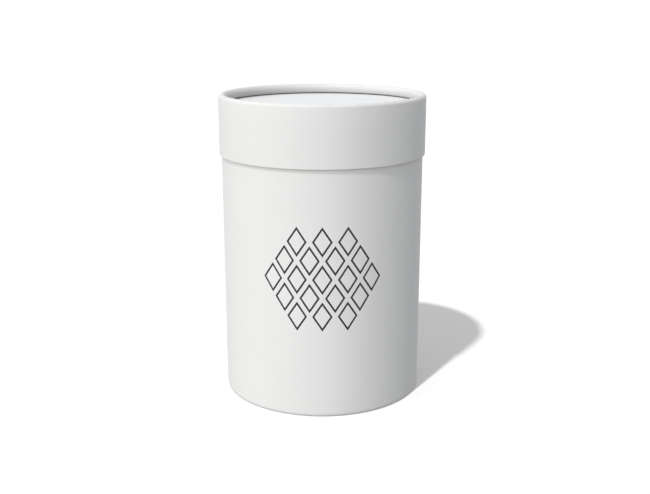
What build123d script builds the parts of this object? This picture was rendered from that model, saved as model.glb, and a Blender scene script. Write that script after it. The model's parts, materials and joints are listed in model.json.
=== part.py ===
from build123d import *
import math
import os

os.makedirs("parts", exist_ok=True)

# The box stands on its foot at z = 0, with its axis on Z. All lengths are in millimetres.

# Sizes of the whole box
body_diameter = 83.0
body_height = 118.8
lid_height = 24.3
lid_clearance = 0.15

# Thicknesses of the papers and boards
cover_paper = 0.15
lining_paper = 0.15
facing_paper = 0.15
body_board = 1.2
lid_board = 0.55
base_board = 1.5
top_board = 1.5

# Rolled rims: the foot of the body and the top of the lid
foot_roll_core = 0.3
foot_roll_creases = 4
base_recess = 4.0
lid_roll_core = 1.8
lid_roll_creases = 6
lid_recess = 4.25
roll_gap = 0.2

# Radii and heights that follow from them
body_radius = body_diameter / 2
body_board_radius = body_radius - cover_paper
body_lining_radius = body_board_radius - body_board
body_inner_radius = body_lining_radius - lining_paper
foot_roll_width = 2 * (cover_paper + body_board) + foot_roll_core

lid_inner_radius = body_radius + lid_clearance
lid_lining_radius = lid_inner_radius + lining_paper
lid_board_radius = lid_lining_radius + lid_board
lid_radius = lid_board_radius + cover_paper
lid_roll_width = 2 * (cover_paper + lid_board) + lid_roll_core

floor_level = base_recess + base_board
lined_floor_level = floor_level + lining_paper
lid_seat = body_height
top_board_level = lid_seat + top_board
top_level = top_board_level + facing_paper
crest_level = top_level + lid_recess
skirt_level = crest_level - lid_height
lid_roll_end = top_level + roll_gap


def turned(points):
    """The solid that a closed outline of (radius, height) points makes when it is turned about Z."""
    outline = Plane.XZ * Polyline(*points, close=True)
    return revolve(make_face(outline), Axis.Z)


def sleeve(outer_radius, inner_radius, low, high):
    """A plain paper sleeve between two heights."""
    return turned(
        [
            (outer_radius, low),
            (outer_radius, high),
            (inner_radius, high),
            (inner_radius, low),
        ]
    )


def disc(radius, low, thickness):
    """A flat round disc that lies at a height."""
    blank = Cylinder(radius, thickness, align=(Align.CENTER, Align.CENTER, Align.MIN))
    return Pos(0, 0, low) * blank


def roll(wall_radius, width, crest, up, creases, depth):
    """The half turn of a rim that is rolled inwards, at a depth under its skin.

    The wall turns by the same angle at each crease, and between creases it is flat, so paper
    and board lie on each other at one thickness. An even number of creases leaves a flat ring
    at the crest. up is 1 for a rim at the top of the wall and -1 for one at its foot.
    """
    centre_radius = wall_radius - width / 2
    centre_height = crest - up * width / 2
    fold = math.pi / creases
    reach = (width / 2 - depth) / math.cos(fold / 2)
    points = []
    for crease in range(creases):
        turn = fold * crease + fold / 2
        radius = centre_radius + reach * math.cos(turn)
        height = centre_height + up * reach * math.sin(turn)
        points.append((radius, height))
    return points


def rolled_wrap(wall_radius, wall_end, width, crest, up, creases, roll_end):
    """Cover paper: along the outer wall, round the roll and down its inner leg."""
    leg_radius = wall_radius - width
    skin = [
        (wall_radius, wall_end),
        *roll(wall_radius, width, crest, up, creases, 0),
        (leg_radius, roll_end),
    ]
    back = [
        (wall_radius - cover_paper, wall_end),
        *roll(wall_radius, width, crest, up, creases, cover_paper),
        (leg_radius + cover_paper, roll_end),
    ]
    return turned(skin + back[::-1])


def rolled_tube(wall_radius, wall_end, width, crest, up, creases, roll_end, board):
    """Wound board tube under the cover paper, with one end rolled into a tight bead."""
    leg_radius = wall_radius - width
    inner_radius = wall_radius - cover_paper - board
    outline = [
        (wall_radius - cover_paper, wall_end),
        *roll(wall_radius, width, crest, up, creases, cover_paper),
        (leg_radius + cover_paper, roll_end),
        (inner_radius, roll_end),
        (inner_radius, wall_end),
    ]
    return turned(outline)


# Where each rolled piece runs: its wall, the wall's cut end, and the roll at the other end
foot = (body_radius, body_height, foot_roll_width, 0, -1, foot_roll_creases, base_recess)
rim = (
    lid_radius,
    skirt_level,
    lid_roll_width,
    crest_level,
    1,
    lid_roll_creases,
    lid_roll_end,
)


def body_wrap():
    """Cover paper of the body, from the cut mouth down and round the rolled foot."""
    return rolled_wrap(*foot)


def body_tube():
    """Board tube of the body, whose rolled foot carries the base disc."""
    return rolled_tube(*foot, body_board)


def body_lining():
    """Paper sleeve inside the body, from the lined floor to the mouth."""
    return sleeve(body_lining_radius, body_inner_radius, lined_floor_level, body_height)


def base_disc():
    """Board disc put in through the mouth, which lies on the foot's roll."""
    return disc(body_lining_radius, base_recess, base_board)


def floor_lining():
    """Paper disc on the base disc, which the lining sleeve stands on."""
    return disc(body_lining_radius, floor_level, lining_paper)


def lid_wrap():
    """Cover paper of the lid, from the cut skirt up and round the rolled rim."""
    return rolled_wrap(*rim)


def lid_tube():
    """Board tube of the lid, rolled in at the top over the disc."""
    return rolled_tube(*rim, lid_board)


def lid_lining():
    """Paper sleeve inside the lid, from the skirt's edge to the disc."""
    return sleeve(lid_lining_radius, lid_inner_radius, skirt_level, lid_seat)


def top_disc():
    """Board disc under the lid's roll, which rests on the mouth of the body."""
    return disc(lid_lining_radius, lid_seat, top_board)


def top_facing():
    """White paper on the upper side of the lid's disc."""
    return disc(lid_lining_radius, top_board_level, facing_paper)


export_step(body_wrap(), "parts/body_wrap.step")
export_step(body_tube(), "parts/body_tube.step")
export_step(body_lining(), "parts/body_lining.step")
export_step(base_disc(), "parts/base_disc.step")
export_step(floor_lining(), "parts/floor_lining.step")
export_step(lid_wrap(), "parts/lid_wrap.step")
export_step(lid_tube(), "parts/lid_tube.step")
export_step(lid_lining(), "parts/lid_lining.step")
export_step(top_disc(), "parts/top_disc.step")
export_step(top_facing(), "parts/top_facing.step")
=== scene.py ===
"""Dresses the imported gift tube: rolled papers, wound boards, print, floor, light and camera."""

import json
import math

import bpy
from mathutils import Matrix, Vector


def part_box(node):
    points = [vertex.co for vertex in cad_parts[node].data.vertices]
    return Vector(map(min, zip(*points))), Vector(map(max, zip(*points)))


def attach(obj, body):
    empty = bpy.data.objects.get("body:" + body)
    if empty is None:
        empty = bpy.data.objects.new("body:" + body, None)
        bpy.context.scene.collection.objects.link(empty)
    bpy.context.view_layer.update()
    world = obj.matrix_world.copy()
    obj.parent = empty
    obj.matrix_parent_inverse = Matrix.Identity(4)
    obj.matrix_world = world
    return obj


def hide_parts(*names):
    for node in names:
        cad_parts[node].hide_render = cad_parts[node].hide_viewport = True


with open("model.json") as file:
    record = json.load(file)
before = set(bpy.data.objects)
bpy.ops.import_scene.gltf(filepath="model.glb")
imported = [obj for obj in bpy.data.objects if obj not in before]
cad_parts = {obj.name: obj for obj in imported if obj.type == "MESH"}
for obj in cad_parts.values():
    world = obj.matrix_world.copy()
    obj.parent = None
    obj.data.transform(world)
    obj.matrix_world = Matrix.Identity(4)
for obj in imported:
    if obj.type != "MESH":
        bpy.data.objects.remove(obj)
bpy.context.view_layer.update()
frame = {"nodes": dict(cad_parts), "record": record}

MM = 0.001

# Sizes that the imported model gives: the radius of a round node is its box's highest x
body_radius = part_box("body_wrap")[1].x
body_lining_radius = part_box("body_lining")[1].x
paper = body_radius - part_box("body_tube")[1].x
mouth_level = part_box("body_wrap")[1].z
base_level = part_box("base_disc")[0].z
floor_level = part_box("floor_lining")[1].z
lid_outer_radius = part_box("lid_wrap")[1].x
lid_lining_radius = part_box("lid_lining")[1].x
lid_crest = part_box("lid_wrap")[1].z
skirt_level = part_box("lid_wrap")[0].z
seat_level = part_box("lid_lining")[1].z
facing_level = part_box("top_facing")[1].z

# Laps, where a paper's end is glued over its start: their width, the way over which the raised
# paper behind them falls back to the wall, the run of the cut edge, and how high each one stands
lap_width = 8.0 * MM
lap_ramp = 1.4 * MM
lap_edge = 0.02 * MM
body_lap = 0.08 * MM
lid_lap = 0.06 * MM
lining_lap = 0.03 * MM

# Where the seams stand, from +X round to +Y: the body's at the back, the lid's at the right.
# The linings are wound on a slant, and their seams go once round in 137 mm.
body_seam = math.radians(90)
lid_seam = math.radians(5)
body_liner_seam = math.radians(200)
lid_liner_seam = math.radians(250)
liner_turns = 1.0 / (137.0 * MM)

# Cut ends: the paper's worn corner, and the plies of a board with the grooves between them
nick = 0.04 * MM
ply = 0.3 * MM
ply_groove = 0.05 * MM

# The rolled ends, in section. A wall goes from its cut end up (1) or down (-1) to the crest of
# an oval bead, which may have a flat ring there. The bead drops over these heights to the wall
# and to its inner leg, and the leg's end tucks under, a gap away from what it closes on.
foot_roll = {
    "wall": body_radius,
    "cut": mouth_level,
    "crest": 0.0,
    "up": -1,
    "width": 3.0 * MM,
    "flat": 1.6 * MM,
    "drop": 1.5 * MM,
    "inner_drop": 1.5 * MM,
    "tuck": 0.5 * MM,
    "tuck_rise": 0.5 * MM,
    "gap": 0.1 * MM,
    "closes_on": base_level,
}
rim_roll = {
    "wall": lid_outer_radius - lid_lap,
    "cut": skirt_level,
    "crest": lid_crest,
    "up": 1,
    "width": 3.2 * MM,
    "flat": 0.0,
    "drop": 1.3 * MM,
    "inner_drop": 2.0 * MM,
    "tuck": 0.62 * MM,
    "tuck_rise": 1.85 * MM,
    "gap": 0.36 * MM,
    "closes_on": facing_level,
}

# Fineness of the meshes
columns = 384
liner_columns = 256
roll_steps = 10
tuck_steps = 8
wall_step = 8.0 * MM
liner_step = 1.1 * MM
crease_angle = math.radians(32)
weld = 0.001 * MM

# Print: a trellis of outlined lozenges. Their size and stroke are shares of a step, and the
# trellis reaches this many steps out from its middle.
print_level = 57.2 * MM
lozenge_step = 10.0 * MM
lozenge_row_step = 7.5 * MM
lozenge_size = 0.4
lozenge_stroke = 0.09
lozenge_reach = 2.5

# Colours. The tones set a paper a little off the colour of its slot in the record.
slots = {item["slot"]: tuple(item["base_color"]) for item in frame["record"]["materials"]}
lid_tone = 0.99
facing_tone = 1.015
# Painted shade: the colour light bounced off the facing takes, to darken the rim's inner wall and
# groove
bounce_shade_colour = (0.25, 0.25, 0.26, 1.0)
# The colour of worn edges, which on the lid's crest is painted shade as well
wear_and_shade_colour = (0.6, 0.585, 0.56, 1.0)
# Glue and painted shadow along a lap's cut edge
lap_glue_shadow_colour = (0.5, 0.49, 0.47, 1.0)
ink = (0.019, 0.022, 0.031, 1.0)
ply_line_colour = (0.22, 0.19, 0.15, 1.0)

# Sheen and relief of the papers and boards. A bump is (strength, depth).
cover_roughness = 0.62
facing_roughness = 0.5
lining_roughness = 0.7
board_roughness = 0.85
roughness_play = 0.05
dry_specular = 0.35
paper_bump = (0.25, 0.02 * MM)
board_bump = (0.4, 0.05 * MM)

# Grain of the papers: how many clouds, fibres and specks in a metre, and how much they show.
# The fibres run up the tube and round it.
sheet_clouds = 85.0
fibres_up = (1900.0, 1900.0, 380.0)
fibres_round = (420.0, 420.0, 2100.0)
tooth_specks = 5200.0
cloud_shade = 0.02
fibre_shade = 0.03
fibre_relief = 0.6
tooth_relief = 0.4

# Wear, and painted shade: an edge band is marked in patches, so many in a metre. Where their
# noise is between these limits, the mark goes from the least to its full amount.
wear_and_shade_patches = 320.0
wear_and_shade_limits = (0.42, 0.62)
wear_and_shade_least = 0.25

# The line along a lap's cut edge, which is glue and painted shadow of the step: its width, the
# share of it that is full, and its strength
lap_glue_shadow_width = 0.11 * MM
lap_glue_shadow_core = 0.4
lap_glue_shadow_strength = 0.5

# Grain of the boards: how many clouds and clots of pulp in a metre, and how much they show
board_clouds = 140.0
board_pulp = 1600.0
board_cloud_shade = 0.16
board_pulp_shade = 0.2

# Flecks in the boards: how many in a metre, their size as a share of their spacing, and colour
board_flecks = (
    (900.0, 0.13, (0.16, 0.13, 0.11, 1.0)),
    (700.0, 0.1, (0.74, 0.72, 0.68, 1.0)),
)
fleck_strength = 0.6

# Lines where two plies meet: how far from a ply's middle they start, as a share of the ply,
# their strength, and how much a face looks up or down where they show
ply_line_start = 0.3
ply_line_strength = 0.5
level_face = 0.4

# Studio. A lamp's place is in degrees, to the left of the camera's side and above the floor, and
# its width is the angle that it fills in the sky.
floor_reach = 12.0
floor_colour = (1.0, 0.98, 0.957)
white = (1.0, 1.0, 1.0, 1.0)
sky_above = (0.544, 0.554, 0.566, 1.0)
sky_below = (0.237, 0.241, 0.246, 1.0)
lamp_colour = (1.0, 0.989, 0.967)
floor_lamp_colour = (0.87, 0.92, 1.0)
key_place = (30.6, 58.6)
key_width = 2.2
key_strength = 1.06
floor_lamp_strength = 0.94
soft_place = (47.0, 10.0)
soft_width = 80.0
soft_strength = 1.86

# Camera, fitted to the photograph: its lens in millimetres, its place, and its angles in degrees
sensor_width = 36.0
lens = 52.564
camera_place = (0.0, -0.3913, 0.164)
camera_tilt = 75.029
camera_pan = -0.166


def straight(radius, start, end, lift, step=wall_step):
    """Points up or down a wall. Each point is (radius, height, lift), lift being how far it
    moves outwards where the paper laps."""
    count = max(1, math.ceil(abs(end - start) / step))
    points = []
    for index in range(count + 1):
        points.append((radius, start + (end - start) * index / count, lift))
    return points


def bend(radius, height, across, tall, depth, start, end, steps, lifted):
    """Points round part of an oval about (radius, height), at a depth under its skin."""
    points = []
    for index in range(steps + 1):
        angle = start + (end - start) * index / steps
        out = math.cos(angle)
        rise = math.sin(angle)
        facing = Vector((out / across, rise / tall)).normalized()
        place = (radius + across * out - depth * facing.x, height + tall * rise - depth * facing.y)
        points.append((*place, facing.x if lifted else 0.0))
    return points


def rolled_line(roll, depth, lifted):
    """The line of a rolled wall at a depth under its skin: from the cut end along the wall,
    round the bead, along the inner leg and round the tucked end."""
    up = roll["up"]
    side = 1.0 if lifted else 0.0
    quarter = up * math.pi / 2
    across = (roll["width"] - roll["flat"]) / 2
    leg = roll["wall"] - roll["width"]
    outer_level = roll["crest"] - up * roll["drop"]
    inner_level = roll["crest"] - up * roll["inner_drop"]
    tuck_level = roll["closes_on"] + up * roll["gap"] + up * roll["tuck_rise"]
    outer = (roll["wall"] - across, outer_level, across, roll["drop"])
    inner = (leg + across, inner_level, across, roll["inner_drop"])
    tucked = (leg + roll["tuck"], tuck_level, roll["tuck"], roll["tuck_rise"])
    line = straight(roll["wall"] - depth, roll["cut"], outer_level, side)
    line += bend(*outer, depth, 0, quarter, roll_steps, lifted)[1:]
    over = bend(*inner, depth, quarter, 2 * quarter, roll_steps, lifted)
    line += over if roll["flat"] else over[1:]
    line += straight(leg + depth, inner_level, tuck_level, -side)[1:]
    line += bend(*tucked, depth, math.pi, math.pi + quarter, tuck_steps, lifted)[1:]
    return line


def paper_outline(roll):
    """Cover paper in section: its skin, and its back one thickness under it."""
    wall = roll["wall"]
    cut = roll["cut"]
    skin = rolled_line(roll, 0.0, True)
    skin[0] = (wall, cut + roll["up"] * nick, 1.0)
    end = [(wall - paper, cut, 0.0), (wall - nick, cut, 1.0)]
    back = rolled_line(roll, paper, False)
    return end + skin + back[:0:-1]


def board_outline(roll, inner_radius):
    """Wound board in section: under the cover paper all the way, with plies at its cut end."""
    cut = roll["cut"]
    outer_radius = roll["wall"] - paper
    line = rolled_line(roll, paper, False)
    tucked_level = line[-1][1]
    line += [(inner_radius, tucked_level, 0.0)]
    line += straight(inner_radius, tucked_level, cut, 0.0)[1:]
    plies = max(2, round((outer_radius - inner_radius) / ply))
    for index in range(1, plies):
        radius = inner_radius + (outer_radius - inner_radius) * index / plies
        line += [(radius - ply_groove, cut, 0.0)]
        line += [(radius, cut + roll["up"] * ply_groove, 0.0)]
        line += [(radius + ply_groove, cut, 0.0)]
    return line


def sleeve_outline(outer_radius, low, high):
    """A lining sleeve in section. Its seam laps on the inside."""
    inner_radius = outer_radius - paper
    line = straight(outer_radius, low, high, 0.0, liner_step)
    line += [(inner_radius + nick, high, 0.0)]
    line += straight(inner_radius, high - nick, low + nick, -1.0, liner_step)
    line += [(inner_radius + nick, low, 0.0)]
    return line


class Nodes:
    """A node tree with short calls to add its nodes."""

    def __init__(self, tree):
        self.tree = tree

    def feed(self, node, values):
        """Sets or links a node's inputs by name or number."""
        for key, value in values.items():
            if isinstance(value, bpy.types.NodeSocket):
                self.tree.links.new(value, node.inputs[key])
            else:
                node.inputs[key].default_value = value

    def add(self, kind, values=None, **settings):
        """Adds a node, sets its properties, and feeds its inputs."""
        node = self.tree.nodes.new(kind)
        for name, value in settings.items():
            setattr(node, name, value)
        self.feed(node, values or {})
        return node

    def math(self, operation, *values):
        """The result of a Math node."""
        numbered = dict(enumerate(values))
        return self.add("ShaderNodeMath", numbered, operation=operation).outputs[0]

    def place(self):
        """Where a point of the piece is."""
        return self.add("ShaderNodeTexCoord").outputs["Object"]

    def parts(self, vector):
        """The X, Y and Z of a vector."""
        return self.add("ShaderNodeSeparateXYZ", {0: vector}).outputs

    def axis_distance(self, parts):
        """How far a point is from the tube's axis."""
        flat = self.add("ShaderNodeCombineXYZ", {0: parts["X"], 1: parts["Y"], 2: 0.0}).outputs[0]
        return self.add("ShaderNodeVectorMath", {0: flat}, operation="LENGTH").outputs["Value"]

    def noise(self, place, scale, detail=2.0):
        """Soft patches from 0 to 1, about 0.5."""
        values = {"Vector": place, "Scale": scale, "Detail": detail}
        return self.add("ShaderNodeTexNoise", values).outputs[0]

    def ramp(self, value, low, high, first, last, kind="LINEAR"):
        """A value that goes from first to last while another goes from low to high."""
        values = {"Value": value, "From Min": low, "From Max": high, "To Min": first, "To Max": last}
        return self.add("ShaderNodeMapRange", values, interpolation_type=kind).outputs[0]

    def mottled(self, colour, *patches):
        """A colour that patches make darker and lighter, each given with its amount."""
        shade = 1.0
        for patch, amount in patches:
            share = self.math("MULTIPLY", self.math("SUBTRACT", patch, 0.5), amount)
            shade = self.math("ADD", shade, share)
        values = {0: colour, "Scale": shade}
        return self.add("ShaderNodeVectorMath", values, operation="SCALE").outputs[0]

    def blended(self, factor, first, second):
        """One colour over another by a mask."""
        values = {"Factor": factor, "A": first, "B": second}
        return self.add("ShaderNodeMix", values, data_type="RGBA").outputs["Result"]

    def bump(self, height, strength, distance):
        """A normal that follows a height."""
        values = {"Height": height, "Strength": strength, "Distance": distance}
        return self.add("ShaderNodeBump", values).outputs["Normal"]


def new_group(name, kind, inputs, outputs):
    """A node group with named inputs (name, type, value) and outputs (name, type)."""
    tree = bpy.data.node_groups.new(name, kind)
    for label, socket, value in inputs:
        item = tree.interface.new_socket(label, in_out="INPUT", socket_type=socket)
        if value is not None:
            item.default_value = value
    for label, socket in outputs:
        tree.interface.new_socket(label, in_out="OUTPUT", socket_type=socket)
    nodes = Nodes(tree)
    given = nodes.add("NodeGroupInput").outputs
    result = nodes.add("NodeGroupOutput")
    return nodes, given, result


def turning_tree():
    """Turns an outline of (radius, 0, height) points round the Z axis into a closed wall.

    One column is set next to the seam, so the lapped end has a sharp edge, and the raised
    paper behind it falls back to the wall over the ramp. The turns per metre wind the seam up
    the tube, and none leave it upright. A wound wall's faces are askew, so they are split
    across their shorter way."""
    nodes, given, result = new_group(
        "turned_wall",
        "GeometryNodeTree",
        [
            ("Outline", "NodeSocketGeometry", None),
            ("Columns", "NodeSocketInt", columns),
            ("Seam", "NodeSocketFloat", 0.0),
            ("Turns per metre", "NodeSocketFloat", 0.0),
            ("Lap width", "NodeSocketFloat", lap_width),
            ("Lap ramp", "NodeSocketFloat", lap_ramp),
            ("Lap height", "NodeSocketFloat", 0.0),
            ("Lap edge", "NodeSocketFloat", lap_edge),
            ("Crease angle", "NodeSocketFloat", crease_angle),
            ("Finish", "NodeSocketMaterial", None),
        ],
        [("Wall", "NodeSocketGeometry")],
    )
    # A grid with a row for each point of the outline and a column for each step round. Its last
    # row and column lie on its first, where they are welded.
    outline = given["Outline"]
    count = nodes.add("GeometryNodeAttributeDomainSize", {"Geometry": outline}).outputs["Point Count"]
    down = nodes.math("ADD", count, 1)
    across = nodes.math("ADD", given["Columns"], 1)
    grid = nodes.add("GeometryNodeMeshGrid", {"Vertices X": down, "Vertices Y": across})
    index = nodes.add("GeometryNodeInputIndex").outputs[0]
    row = nodes.math("FLOOR", nodes.math("DIVIDE", nodes.math("ADD", index, 0.5), across))
    column = nodes.math("SUBTRACT", index, nodes.math("MULTIPLY", row, across))
    row = nodes.math("MODULO", row, count)
    column = nodes.math("MODULO", column, given["Columns"])

    # The outline's point for this row, and how far it lifts at the lap
    place = nodes.add("GeometryNodeInputPosition").outputs[0]
    point = nodes.add(
        "GeometryNodeSampleIndex",
        {"Geometry": outline, "Value": place, "Index": row},
        data_type="FLOAT_VECTOR",
    ).outputs[0]
    lifts = nodes.add("GeometryNodeInputNamedAttribute", {"Name": "lift"}, data_type="FLOAT")
    lift = nodes.add(
        "GeometryNodeSampleIndex",
        {"Geometry": outline, "Value": lifts.outputs["Attribute"], "Index": row},
        data_type="FLOAT",
    ).outputs[0]
    parts = nodes.parts(point)
    radius = parts["X"]
    height = parts["Z"]

    # How far round this column is, the last one standing close to the seam
    even = nodes.math("MULTIPLY", nodes.math("DIVIDE", column, given["Columns"]), math.tau)
    last = nodes.math("COMPARE", column, nodes.math("SUBTRACT", given["Columns"], 1), 0.5)
    close = nodes.math("SUBTRACT", math.tau, nodes.math("DIVIDE", given["Lap edge"], radius))
    angle = nodes.math("MULTIPLY_ADD", last, nodes.math("SUBTRACT", close, even), even)

    # The lap, and the slant of a wound seam
    along = nodes.math("MULTIPLY", angle, radius)
    lap_end = nodes.math("ADD", given["Lap width"], given["Lap ramp"])
    raised = nodes.ramp(along, given["Lap width"], lap_end, 1.0, 0.0, "SMOOTHSTEP")
    rise = nodes.math("MULTIPLY", nodes.math("MULTIPLY", raised, lift), given["Lap height"])
    radius = nodes.math("ADD", radius, rise)
    slant = nodes.math("MULTIPLY", given["Turns per metre"], math.tau)
    wound = nodes.math("MULTIPLY", height, slant)
    turn = nodes.math("ADD", nodes.math("ADD", angle, given["Seam"]), wound)
    x = nodes.math("MULTIPLY", radius, nodes.math("COSINE", turn))
    y = nodes.math("MULTIPLY", radius, nodes.math("SINE", turn))
    spot = nodes.add("ShaderNodeCombineXYZ", {0: x, 1: y, 2: height}).outputs[0]

    # The wall: placed, welded, split, shaded and given its material
    wall = grid.outputs["Mesh"]
    wall = nodes.add("GeometryNodeSetPosition", {"Geometry": wall, "Position": spot}).outputs[0]
    wall = nodes.add("GeometryNodeMergeByDistance", {"Geometry": wall, "Distance": weld}).outputs[0]
    wall = nodes.add("GeometryNodeTriangulate", {"Mesh": wall}).outputs[0]
    smooth = {"Geometry": wall, "Shade Smooth": True}
    wall = nodes.add("GeometryNodeSetShadeSmooth", smooth).outputs[0]
    fold = nodes.add("GeometryNodeInputMeshEdgeAngle").outputs["Unsigned Angle"]
    sharp = nodes.math("GREATER_THAN", fold, given["Crease angle"])
    creased = {"Geometry": wall, "Selection": sharp, "Shade Smooth": False}
    wall = nodes.add("GeometryNodeSetShadeSmooth", creased, domain="EDGE").outputs[0]
    wall = nodes.add("GeometryNodeRealizeInstances", {"Geometry": wall}).outputs[0]
    finished = {"Geometry": wall, "Material": given["Finish"]}
    wall = nodes.add("GeometryNodeSetMaterial", finished).outputs[0]
    nodes.feed(result, {"Wall": wall})
    return nodes.tree


def facing_out(outline):
    """The outline, run round the way that turns the wall's faces outwards."""
    area = 0.0
    for index, (radius, height, lift) in enumerate(outline):
        before = outline[index - 1]
        area += before[0] * height - radius * before[1]
    return outline[::-1] if area > 0 else outline


def turned_piece(
    name, node, body, outline, finish, seam=0.0, turns=0.0, lap=0.0, steps=columns
):
    """Turns an outline into a piece that stands for a CAD node and rides on its body. Where
    the piece is lapped, its seam starts at an angle and is wound by so many turns a metre."""
    line = facing_out(outline)
    mesh = bpy.data.meshes.new(name + "_outline")
    mesh.from_pydata([(radius, 0.0, height) for radius, height, lift in line], [], [])
    lifts = mesh.attributes.new("lift", "FLOAT", "POINT")
    for index, (radius, height, lift) in enumerate(line):
        lifts.data[index].value = lift
    piece = bpy.data.objects.new(name, mesh)
    bpy.context.scene.collection.objects.link(piece)

    turning = piece.modifiers.new("turned", "NODES")
    turning.node_group = turned_wall
    values = {
        "Columns": steps,
        "Seam": seam,
        "Turns per metre": turns,
        "Lap width": lap_width,
        "Lap ramp": lap_ramp,
        "Lap height": lap,
        "Lap edge": lap_edge,
        "Crease angle": crease_angle,
        "Finish": finish,
    }
    for item in turned_wall.interface.items_tree:
        if item.in_out == "INPUT" and item.name in values:
            turning[item.identifier] = values[item.name]

    seen = piece.evaluated_get(bpy.context.evaluated_depsgraph_get())
    turned = bpy.data.meshes.new_from_object(seen)
    turned.name = name
    turned.materials.clear()
    turned.materials.append(finish)
    for face in turned.polygons:
        face.material_index = 0
    piece.modifiers.clear()
    piece.data = turned
    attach(piece, body)
    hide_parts(node)


def paper_grain_group():
    """Paper close to: faint clouds in the sheet, fibres two ways, and its tooth as a height."""
    nodes, given, result = new_group(
        "paper_grain",
        "ShaderNodeTree",
        [
            ("Colour", "NodeSocketColor", white),
            ("Clouds", "NodeSocketFloat", cloud_shade),
            ("Fibres", "NodeSocketFloat", fibre_shade),
        ],
        [("Colour", "NodeSocketColor"), ("Height", "NodeSocketFloat"), ("Tooth", "NodeSocketFloat")],
    )
    place = nodes.place()
    clouds = nodes.noise(place, sheet_clouds, detail=3.0)
    strands = []
    for stretch in (fibres_up, fibres_round):
        combed = nodes.add("ShaderNodeMapping", {"Vector": place, "Scale": stretch}).outputs[0]
        strands.append(nodes.noise(combed, 1.0))
    fibres = nodes.math("MULTIPLY", nodes.math("ADD", *strands), 0.5)
    tooth = nodes.noise(place, tooth_specks)
    colour = nodes.mottled(given["Colour"], (clouds, given["Clouds"]), (fibres, given["Fibres"]))
    fibre_height = nodes.math("MULTIPLY", fibres, fibre_relief)
    height = nodes.math("MULTIPLY_ADD", tooth, tooth_relief, fibre_height)
    nodes.feed(result, {"Colour": colour, "Height": height, "Tooth": tooth})
    return nodes.tree


def lap_glue_shadow_group():
    """Glue and painted shadow along a lapped paper's cut edge, upright or wound up the tube."""
    nodes, given, result = new_group(
        "lap_glue_shadow",
        "ShaderNodeTree",
        [
            ("Seam", "NodeSocketFloat", 0.0),
            ("Turns per metre", "NodeSocketFloat", 0.0),
            ("Width", "NodeSocketFloat", lap_glue_shadow_width),
            ("Strength", "NodeSocketFloat", lap_glue_shadow_strength),
        ],
        [("Mask", "NodeSocketFloat")],
    )
    parts = nodes.parts(nodes.place())
    turn = nodes.math("DIVIDE", nodes.math("ARCTAN2", parts["Y"], parts["X"]), math.tau)
    start = nodes.math("DIVIDE", given["Seam"], math.tau)
    wound = nodes.math("MULTIPLY", parts["Z"], given["Turns per metre"])
    share = nodes.math("SUBTRACT", nodes.math("SUBTRACT", turn, start), wound)
    near = nodes.math("SUBTRACT", nodes.math("FRACT", nodes.math("ADD", share, 0.5)), 0.5)
    girth = nodes.math("MULTIPLY", nodes.axis_distance(parts), math.tau)
    distance = nodes.math("ABSOLUTE", nodes.math("MULTIPLY", near, girth))
    core = nodes.math("MULTIPLY", given["Width"], lap_glue_shadow_core)
    line = nodes.ramp(distance, core, given["Width"], 1.0, 0.0)
    nodes.feed(result, {"Mask": nodes.math("MULTIPLY", line, given["Strength"])})
    return nodes.tree


def wear_and_shade_edge_group():
    """A broken band beside a height, for worn edges and for painted shade along an edge."""
    nodes, given, result = new_group(
        "wear_and_shade_edge",
        "ShaderNodeTree",
        [
            ("Level", "NodeSocketFloat", 0.0),
            ("Band", "NodeSocketFloat", 1.0 * MM),
            ("Amount", "NodeSocketFloat", 0.2),
        ],
        [("Mask", "NodeSocketFloat")],
    )
    place = nodes.place()
    height = nodes.parts(place)["Z"]
    distance = nodes.math("ABSOLUTE", nodes.math("SUBTRACT", height, given["Level"]))
    band = nodes.ramp(distance, 0.0, given["Band"], 1.0, 0.0, "SMOOTHSTEP")
    patches = nodes.noise(place, wear_and_shade_patches, detail=4.0)
    broken = nodes.ramp(patches, *wear_and_shade_limits, wear_and_shade_least, 1.0)
    mask = nodes.math("MULTIPLY", nodes.math("MULTIPLY", band, broken), given["Amount"])
    nodes.feed(result, {"Mask": mask})
    return nodes.tree


def greyboard_group():
    """Board of reclaimed pulp: clouds, dark and light flecks, and rings of plies at cut ends."""
    nodes, given, result = new_group(
        "greyboard",
        "ShaderNodeTree",
        [
            ("Colour", "NodeSocketColor", white),
            ("Clouds", "NodeSocketFloat", board_cloud_shade),
            ("Pulp", "NodeSocketFloat", board_pulp_shade),
            ("Inner radius", "NodeSocketFloat", 0.0),
            ("Ply", "NodeSocketFloat", ply),
            ("Rings", "NodeSocketFloat", 0.0),
        ],
        [("Colour", "NodeSocketColor"), ("Height", "NodeSocketFloat")],
    )
    place = nodes.place()
    clouds = nodes.noise(place, board_clouds, detail=4.0)
    pulp = nodes.noise(place, board_pulp, detail=3.0)
    colour = nodes.mottled(given["Colour"], (clouds, given["Clouds"]), (pulp, given["Pulp"]))
    for specks, size, tint in board_flecks:
        cells = nodes.add("ShaderNodeTexVoronoi", {"Vector": place, "Scale": specks})
        fleck = nodes.math("LESS_THAN", cells.outputs["Distance"], size)
        colour = nodes.blended(nodes.math("MULTIPLY", fleck, fleck_strength), colour, tint)

    # A dark line where two plies meet, on faces that look up or down
    depth = nodes.math("SUBTRACT", nodes.axis_distance(nodes.parts(place)), given["Inner radius"])
    layer = nodes.math("FRACT", nodes.math("DIVIDE", depth, given["Ply"]))
    near = nodes.math("ABSOLUTE", nodes.math("SUBTRACT", layer, 0.5))
    line = nodes.ramp(near, ply_line_start, 0.5, 0.0, ply_line_strength)
    facing = nodes.add("ShaderNodeNewGeometry").outputs["Normal"]
    upright = nodes.math("ABSOLUTE", nodes.parts(facing)["Z"])
    level = nodes.math("GREATER_THAN", upright, level_face)
    line = nodes.math("MULTIPLY", nodes.math("MULTIPLY", line, level), given["Rings"])
    colour = nodes.blended(line, colour, ply_line_colour)
    height = nodes.math("SUBTRACT", pulp, line)
    nodes.feed(result, {"Colour": colour, "Height": height})
    return nodes.tree


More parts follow.
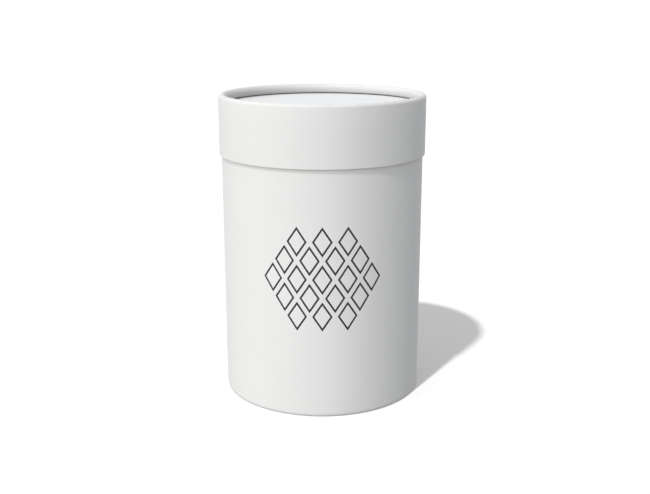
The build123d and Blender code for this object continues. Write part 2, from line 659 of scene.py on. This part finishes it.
def lozenge_print_group():
    """A printed trellis of outlined lozenges on the front of the tube, worked out on the
    unrolled wall: three, four, five, four and three in a row, each row set half a step over."""
    nodes, given, result = new_group(
        "lozenge_print",
        "ShaderNodeTree",
        [
            ("Radius", "NodeSocketFloat", body_radius),
            ("Centre height", "NodeSocketFloat", print_level),
            ("Step", "NodeSocketFloat", lozenge_step),
            ("Row step", "NodeSocketFloat", lozenge_row_step),
            ("Size", "NodeSocketFloat", lozenge_size),
            ("Stroke", "NodeSocketFloat", lozenge_stroke),
            ("Reach", "NodeSocketFloat", lozenge_reach),
        ],
        [("Mask", "NodeSocketFloat")],
    )
    parts = nodes.parts(nodes.place())
    turn = nodes.math("ARCTAN2", parts["X"], nodes.math("MULTIPLY", parts["Y"], -1.0))
    across = nodes.math("DIVIDE", nodes.math("MULTIPLY", turn, given["Radius"]), given["Step"])
    rise = nodes.math("SUBTRACT", parts["Z"], given["Centre height"])
    up = nodes.math("DIVIDE", rise, nodes.math("MULTIPLY", given["Row step"], 2.0))

    # The lozenges are the squares of a grid whose lines run up to the left and to the right
    right = nodes.math("ADD", across, up)
    left = nodes.math("SUBTRACT", across, up)
    right_cell = nodes.math("ROUND", right)
    left_cell = nodes.math("ROUND", left)
    right_part = nodes.math("ABSOLUTE", nodes.math("SUBTRACT", right, right_cell))
    left_part = nodes.math("ABSOLUTE", nodes.math("SUBTRACT", left, left_cell))
    out = nodes.math("MAXIMUM", right_part, left_part)
    hollow = nodes.math("SUBTRACT", given["Size"], given["Stroke"])
    inside = nodes.math("LESS_THAN", out, given["Size"])
    line = nodes.math("MULTIPLY", inside, nodes.math("GREATER_THAN", out, hollow))

    # The trellis ends the same number of squares out each way, and of rows up and down
    right_most = nodes.math("ABSOLUTE", right_cell)
    farthest = nodes.math("MAXIMUM", right_most, nodes.math("ABSOLUTE", left_cell))
    row = nodes.math("ABSOLUTE", nodes.math("SUBTRACT", right_cell, left_cell))
    near = nodes.math("LESS_THAN", farthest, given["Reach"])
    field = nodes.math("MULTIPLY", near, nodes.math("LESS_THAN", row, given["Reach"]))
    mask = nodes.math("MULTIPLY", line, field)
    nodes.feed(result, {"Mask": mask})
    return nodes.tree


def new_material(name, base_color, roughness, specular):
    """A material, its nodes and its Principled shader. The viewport shows its plain colour."""
    material = bpy.data.materials.new(name)
    material.use_nodes = True
    material.diffuse_color = (*base_color, 1.0)
    nodes = Nodes(material.node_tree)
    shader = material.node_tree.nodes["Principled BSDF"]
    plain = {"Base Color": (*base_color, 1.0), "Roughness": roughness, "Specular IOR Level": specular}
    nodes.feed(shader, plain)
    return material, nodes, shader


def paper_material(
    name, base_color, roughness, seam=None, turns=0.0, worn_and_shaded=(), printed=False, shades_bounce=False
):
    """A white paper: grain, its seam's line of glue and painted shadow, worn edge bands, which on the
    lid's crest are painted shade too, and the print. A paper that shades its bounce shows a dark
    colour to light bounced off it, which paints shade on what stands round it."""
    material, nodes, shader = new_material(name, base_color, roughness, dry_specular)
    grain = nodes.add("ShaderNodeGroup", node_tree=paper_grain)
    nodes.feed(grain, {"Colour": (*base_color, 1.0)})
    colour = grain.outputs["Colour"]
    # Worn edge bands; the lid's crest band is painted shade as well, dimming its highlight
    for level, band, amount in worn_and_shaded:
        values = {"Level": level, "Band": band, "Amount": amount}
        edge_wear_shade = nodes.add("ShaderNodeGroup", values, node_tree=wear_and_shade_edge)
        colour = nodes.blended(edge_wear_shade.outputs["Mask"], colour, wear_and_shade_colour)
    # The seam's line: glue, and painted shadow of the lapped step
    if seam is not None:
        values = {"Seam": seam, "Turns per metre": turns}
        line = nodes.add("ShaderNodeGroup", values, node_tree=lap_glue_shadow)
        colour = nodes.blended(line.outputs["Mask"], colour, lap_glue_shadow_colour)
    if printed:
        lozenges = nodes.add("ShaderNodeGroup", node_tree=lozenge_print)
        colour = nodes.blended(lozenges.outputs["Mask"], colour, ink)
    # Painted shade: the facing looks dark to bounced light, which darkens the rim's inner wall and
    # groove
    if shades_bounce:
        thrown = nodes.add("ShaderNodeLightPath").outputs["Is Diffuse Ray"]
        colour = nodes.blended(thrown, colour, bounce_shade_colour)
    least = roughness - roughness_play
    most = roughness + roughness_play
    sheen = nodes.ramp(grain.outputs["Tooth"], 0.0, 1.0, least, most)
    normal = nodes.bump(grain.outputs["Height"], *paper_bump)
    nodes.feed(shader, {"Base Color": colour, "Roughness": sheen, "Normal": normal})
    return material


def board_material(name, base_color, inner_radius, rings):
    """Raw greyboard, with rings of plies at its cut ends where it is wound."""
    material, nodes, shader = new_material(name, base_color, board_roughness, dry_specular)
    values = {"Colour": (*base_color, 1.0), "Inner radius": inner_radius, "Rings": rings}
    board = nodes.add("ShaderNodeGroup", values, node_tree=greyboard)
    normal = nodes.bump(board.outputs["Height"], *board_bump)
    nodes.feed(shader, {"Base Color": board.outputs["Colour"], "Normal": normal})
    return material


def finish_node(node, material):
    """Gives a CAD node that stays in view its own material."""
    frame["nodes"][node].material_slots[0].material = material


turned_wall = turning_tree()
paper_grain = paper_grain_group()
lap_glue_shadow = lap_glue_shadow_group()
wear_and_shade_edge = wear_and_shade_edge_group()
greyboard = greyboard_group()
lozenge_print = lozenge_print_group()

# Each edge band is (height, width of its band, amount)
body_cover_paper = paper_material(
    "body_cover_paper",
    slots["cover_paper"],
    cover_roughness,
    seam=body_seam,
    worn_and_shaded=((0.0, 0.9 * MM, 0.3), (mouth_level, 0.5 * MM, 0.35)),
    printed=True,
)
lid_cover_paper = paper_material(
    "lid_cover_paper",
    tuple(lid_tone * part for part in slots["cover_paper"]),
    cover_roughness,
    seam=lid_seam,
    # The crest's wide band is wear and also painted shade, which dims the bead's highlight
    worn_and_shaded=((skirt_level, 0.5 * MM, 0.4), (lid_crest, 1.5 * MM, 0.32)),
)
facing_cover_paper = paper_material(
    "facing_cover_paper",
    tuple(facing_tone * part for part in slots["facing_paper"]),
    facing_roughness,
    # Its bounce is darkened, which paints shade on the rim's inner wall and groove
    shades_bounce=True,
)
body_liner_paper = paper_material(
    "body_liner_paper",
    slots["lining_paper"],
    lining_roughness,
    seam=body_liner_seam,
    turns=liner_turns,
    worn_and_shaded=((mouth_level, 0.6 * MM, 0.4),),
)
lid_liner_paper = paper_material(
    "lid_liner_paper",
    slots["lining_paper"],
    lining_roughness,
    seam=lid_liner_seam,
    turns=liner_turns,
    worn_and_shaded=((skirt_level, 0.5 * MM, 0.4),),
)
floor_paper = paper_material("floor_paper", slots["lining_paper"], lining_roughness)
body_board = board_material("body_board", slots["tube_board"], body_lining_radius, 1.0)
lid_board = board_material("lid_board", slots["tube_board"], lid_lining_radius, 1.0)
pressed_board = board_material("pressed_board", slots["disc_board"], 0.0, 0.0)

turned_piece(
    "body_cover",
    "body_wrap",
    "body",
    paper_outline(foot_roll),
    body_cover_paper,
    seam=body_seam,
    lap=body_lap,
)
turned_piece(
    "lid_cover",
    "lid_wrap",
    "lid",
    paper_outline(rim_roll),
    lid_cover_paper,
    seam=lid_seam,
    lap=lid_lap,
)
turned_piece(
    "body_board_tube",
    "body_tube",
    "body",
    board_outline(foot_roll, body_lining_radius),
    body_board,
)
turned_piece(
    "lid_board_tube",
    "lid_tube",
    "lid",
    board_outline(rim_roll, lid_lining_radius),
    lid_board,
)
turned_piece(
    "body_liner",
    "body_lining",
    "body",
    sleeve_outline(body_lining_radius, floor_level, mouth_level),
    body_liner_paper,
    seam=body_liner_seam,
    turns=liner_turns,
    lap=lining_lap,
    steps=liner_columns,
)
turned_piece(
    "lid_liner",
    "lid_lining",
    "lid",
    sleeve_outline(lid_lining_radius, skirt_level, seat_level),
    lid_liner_paper,
    seam=lid_liner_seam,
    turns=liner_turns,
    lap=lining_lap,
    steps=liner_columns,
)
finish_node("top_facing", facing_cover_paper)
finish_node("top_disc", pressed_board)
finish_node("base_disc", pressed_board)
finish_node("floor_lining", floor_paper)


def studio_floor():
    """The pale floor. It lets the light from below through to the box, as if it were not there."""
    corners = []
    for x, y in ((-1, -1), (1, -1), (1, 1), (-1, 1)):
        corners.append((x * floor_reach, y * floor_reach, 0.0))
    mesh = bpy.data.meshes.new("studio_floor")
    mesh.from_pydata(corners, [], [(0, 1, 2, 3)])
    mesh.materials.append(new_material("studio_floor", floor_colour, 1.0, 0.0)[0])
    floor = bpy.data.objects.new("studio_floor", mesh)
    bpy.context.scene.collection.objects.link(floor)
    floor.visible_diffuse = False
    return floor


def seen_directly(nodes):
    """1 for a ray from the camera, or one mirrored or passed on to it."""
    path = nodes.add("ShaderNodeLightPath").outputs
    kinds = nodes.math("MAXIMUM", path["Is Glossy Ray"], path["Is Transmission Ray"])
    return nodes.math("MAXIMUM", path["Is Camera Ray"], kinds)


def studio_sky():
    """Soft light from above, less of it from below, and a white background."""
    world = bpy.data.worlds.new("studio_sky")
    world.use_nodes = True
    nodes = Nodes(world.node_tree)
    way = nodes.add("ShaderNodeTexCoord").outputs["Generated"]
    above = nodes.math("GREATER_THAN", nodes.parts(way)["Z"], 0.0)
    tone = nodes.blended(above, sky_below, sky_above)
    tone = nodes.blended(seen_directly(nodes), tone, white)
    nodes.feed(world.node_tree.nodes["Background"], {"Color": tone})
    bpy.context.scene.world = world


def sun_lamp(name, place, width, strength, colour):
    """A distant lamp that shines from its place in the sky towards the box."""
    turn = math.radians(place[0])
    rise = math.radians(place[1])
    level = math.cos(rise)
    towards = Vector((-math.sin(turn) * level, -math.cos(turn) * level, math.sin(rise)))
    data = bpy.data.lights.new(name, "SUN")
    data.energy = strength
    data.angle = math.radians(width)
    data.color = colour
    lamp = bpy.data.objects.new(name, data)
    lamp.rotation_mode = "QUATERNION"
    lamp.rotation_quaternion = towards.to_track_quat("Z", "Y")
    bpy.context.scene.collection.objects.link(lamp)
    return lamp


def link_lamp(lamp, thing, state):
    """Keeps a lamp off one thing, or on it alone."""
    linked = bpy.data.collections.new(lamp.name + "_links")
    linked.objects.link(thing)
    linked.collection_objects[0].light_linking.link_state = state
    lamp.light_linking.receiver_collection = linked


def studio_lamps(floor):
    """A key lamp, a wide soft lamp for the box, and a lamp that keeps the floor alone white
    outside the shadow."""
    sun_lamp("key_lamp", key_place, key_width, key_strength, lamp_colour)
    soft_lamp = sun_lamp("soft_lamp", soft_place, soft_width, soft_strength, lamp_colour)
    floor_lamp = sun_lamp("floor_lamp", key_place, key_width, floor_lamp_strength, floor_lamp_colour)
    link_lamp(soft_lamp, floor, "EXCLUDE")
    link_lamp(floor_lamp, floor, "INCLUDE")


def photo_camera():
    """The camera at the photograph's viewpoint, looking down a little."""
    data = bpy.data.cameras.new("photo_camera")
    data.sensor_width = sensor_width
    data.lens = lens
    camera = bpy.data.objects.new("photo_camera", data)
    camera.location = camera_place
    camera.rotation_euler = (math.radians(camera_tilt), 0.0, math.radians(camera_pan))
    bpy.context.scene.collection.objects.link(camera)
    bpy.context.scene.camera = camera


studio_lamps(studio_floor())
studio_sky()
photo_camera()
bpy.context.scene.view_settings.view_transform = "Standard"
